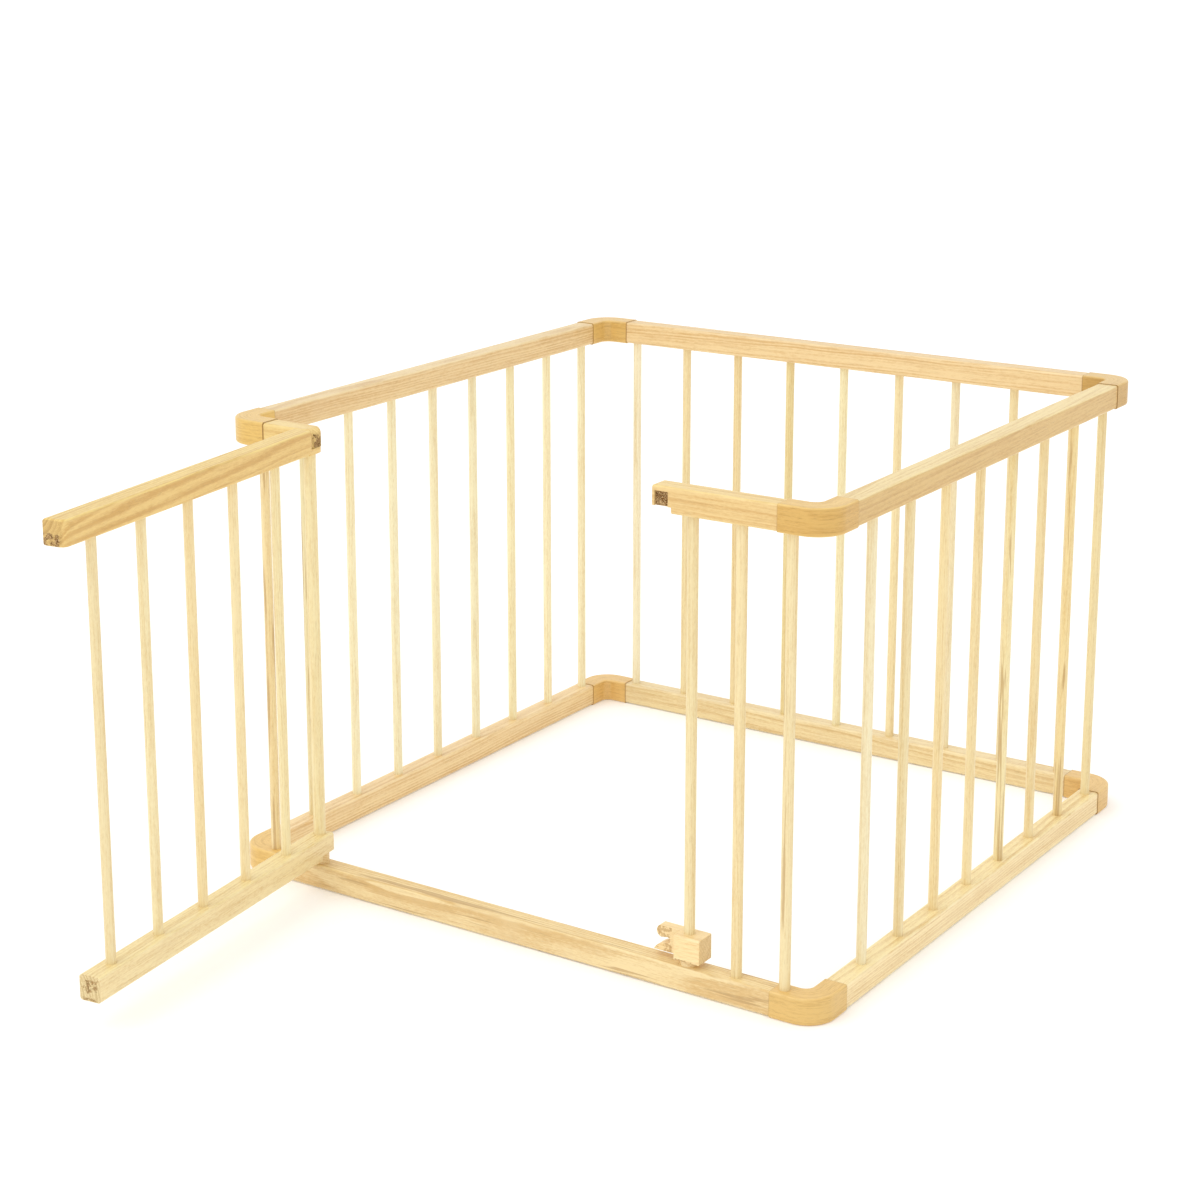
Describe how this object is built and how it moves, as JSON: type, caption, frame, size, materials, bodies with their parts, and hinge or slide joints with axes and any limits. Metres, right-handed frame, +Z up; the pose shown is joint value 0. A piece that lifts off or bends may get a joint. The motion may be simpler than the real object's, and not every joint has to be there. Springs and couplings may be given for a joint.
{
  "type": "playpen",
  "caption": "Square wooden playpen: rounded rails on bent corner blocks, round spars between them, a gate hinged on a dowel and a sliding catch beside its opening.",
  "frame": {"origin": "on the floor, under the middle of the box that holds the whole playpen with its gate open as at rest", "axes": "+X along the front of the pen from the hinge to the catch, +Y from the front to the back, +Z up"},
  "size_m": [1, 1.5582, 0.7],
  "materials": {
    "rail_wood": "satin lacquer",
    "corner_wood": "satin lacquer",
    "spar_wood": "satin lacquer",
    "catch_wood": "satin lacquer",
    "pin_wood": "bare"
  },
  "bodies": {
    "frame": {"catch_post": "spar_wood", "catch_spacer": "spar_wood", "corner_bottom_back_left": "corner_wood", "corner_bottom_back_right": "corner_wood", "corner_bottom_front_left": "corner_wood", "corner_bottom_front_right": "corner_wood", "corner_pins": "pin_wood", "corner_top_back_left": "corner_wood", "corner_top_back_right": "corner_wood", "corner_top_front_left": "corner_wood", "corner_top_front_right": "corner_wood", "hinge_dowel": "spar_wood", "hinge_spacer": "spar_wood", "rail_bottom_back": "rail_wood", "rail_bottom_front": "rail_wood", "rail_bottom_left": "rail_wood", "rail_bottom_right": "rail_wood", "rail_top_back": "rail_wood", "rail_top_front_left": "rail_wood", "rail_top_front_right": "rail_wood", "rail_top_left": "rail_wood", "rail_top_right": "rail_wood", "spar_back_1": "spar_wood", "spar_back_2": "spar_wood", "spar_back_3": "spar_wood", "spar_back_4": "spar_wood", "spar_back_5": "spar_wood", "spar_back_6": "spar_wood", "spar_back_7": "spar_wood", "spar_back_8": "spar_wood", "spar_back_9": "spar_wood", "spar_front_1": "spar_wood", "spar_front_2": "spar_wood", "spar_front_3": "spar_wood", "spar_left_1": "spar_wood", "spar_left_2": "spar_wood", "spar_left_3": "spar_wood", "spar_left_4": "spar_wood", "spar_left_5": "spar_wood", "spar_left_6": "spar_wood", "spar_left_7": "spar_wood", "spar_left_8": "spar_wood", "spar_right_1": "spar_wood", "spar_right_2": "spar_wood", "spar_right_3": "spar_wood", "spar_right_4": "spar_wood", "spar_right_5": "spar_wood", "spar_right_6": "spar_wood", "spar_right_7": "spar_wood", "spar_right_8": "spar_wood"},
    "gate": {"gate_bottom_rail": "rail_wood", "gate_spar_1": "spar_wood", "gate_spar_2": "spar_wood", "gate_spar_3": "spar_wood", "gate_spar_4": "spar_wood", "gate_spar_5": "spar_wood", "gate_top_rail": "rail_wood"},
    "catch": {"gate_catch": "catch_wood"}
  },
  "joints": [
    {"name": "gate_swing", "type": "hinge", "parent": "frame", "child": "gate", "pos_m": [-0.352, -0.2034, 0.37], "axis": [0, 0, 1], "range_deg": [-10, 83]},
    {"name": "catch_slide", "type": "slide", "parent": "frame", "child": "catch", "axis": [0, 0, 1], "range_m": [0, 0.06]}
  ]
}
